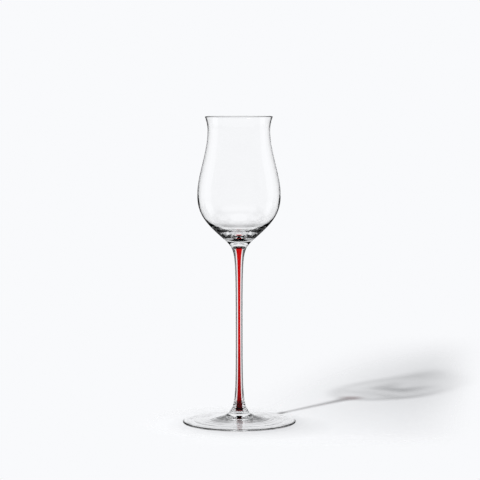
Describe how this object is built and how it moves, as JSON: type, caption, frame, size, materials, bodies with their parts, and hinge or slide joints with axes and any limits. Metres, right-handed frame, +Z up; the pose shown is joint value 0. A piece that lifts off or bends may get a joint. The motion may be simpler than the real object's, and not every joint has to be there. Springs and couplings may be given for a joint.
{
  "type": "tulip tasting glass",
  "caption": "Tall stem glass with a small tulip bowl, a thin drawn stem with a red thread fused inside it, and a round foot, for tasting spirits.",
  "frame": {"origin": "centre of the foot's underside, on the table", "axes": "+Z up along the stem's axis"},
  "size_m": [0.0776, 0.0776, 0.21],
  "materials": {
    "clear_crystal": "clear fire-polished crystal glass",
    "red_glass": "deep red transparent glass, fused inside the clear stem"
  },
  "bodies": {
    "root": {"bowl": "clear_crystal", "stem": "clear_crystal", "red_thread": "red_glass", "foot": "clear_crystal"}
  },
  "joints": []
}
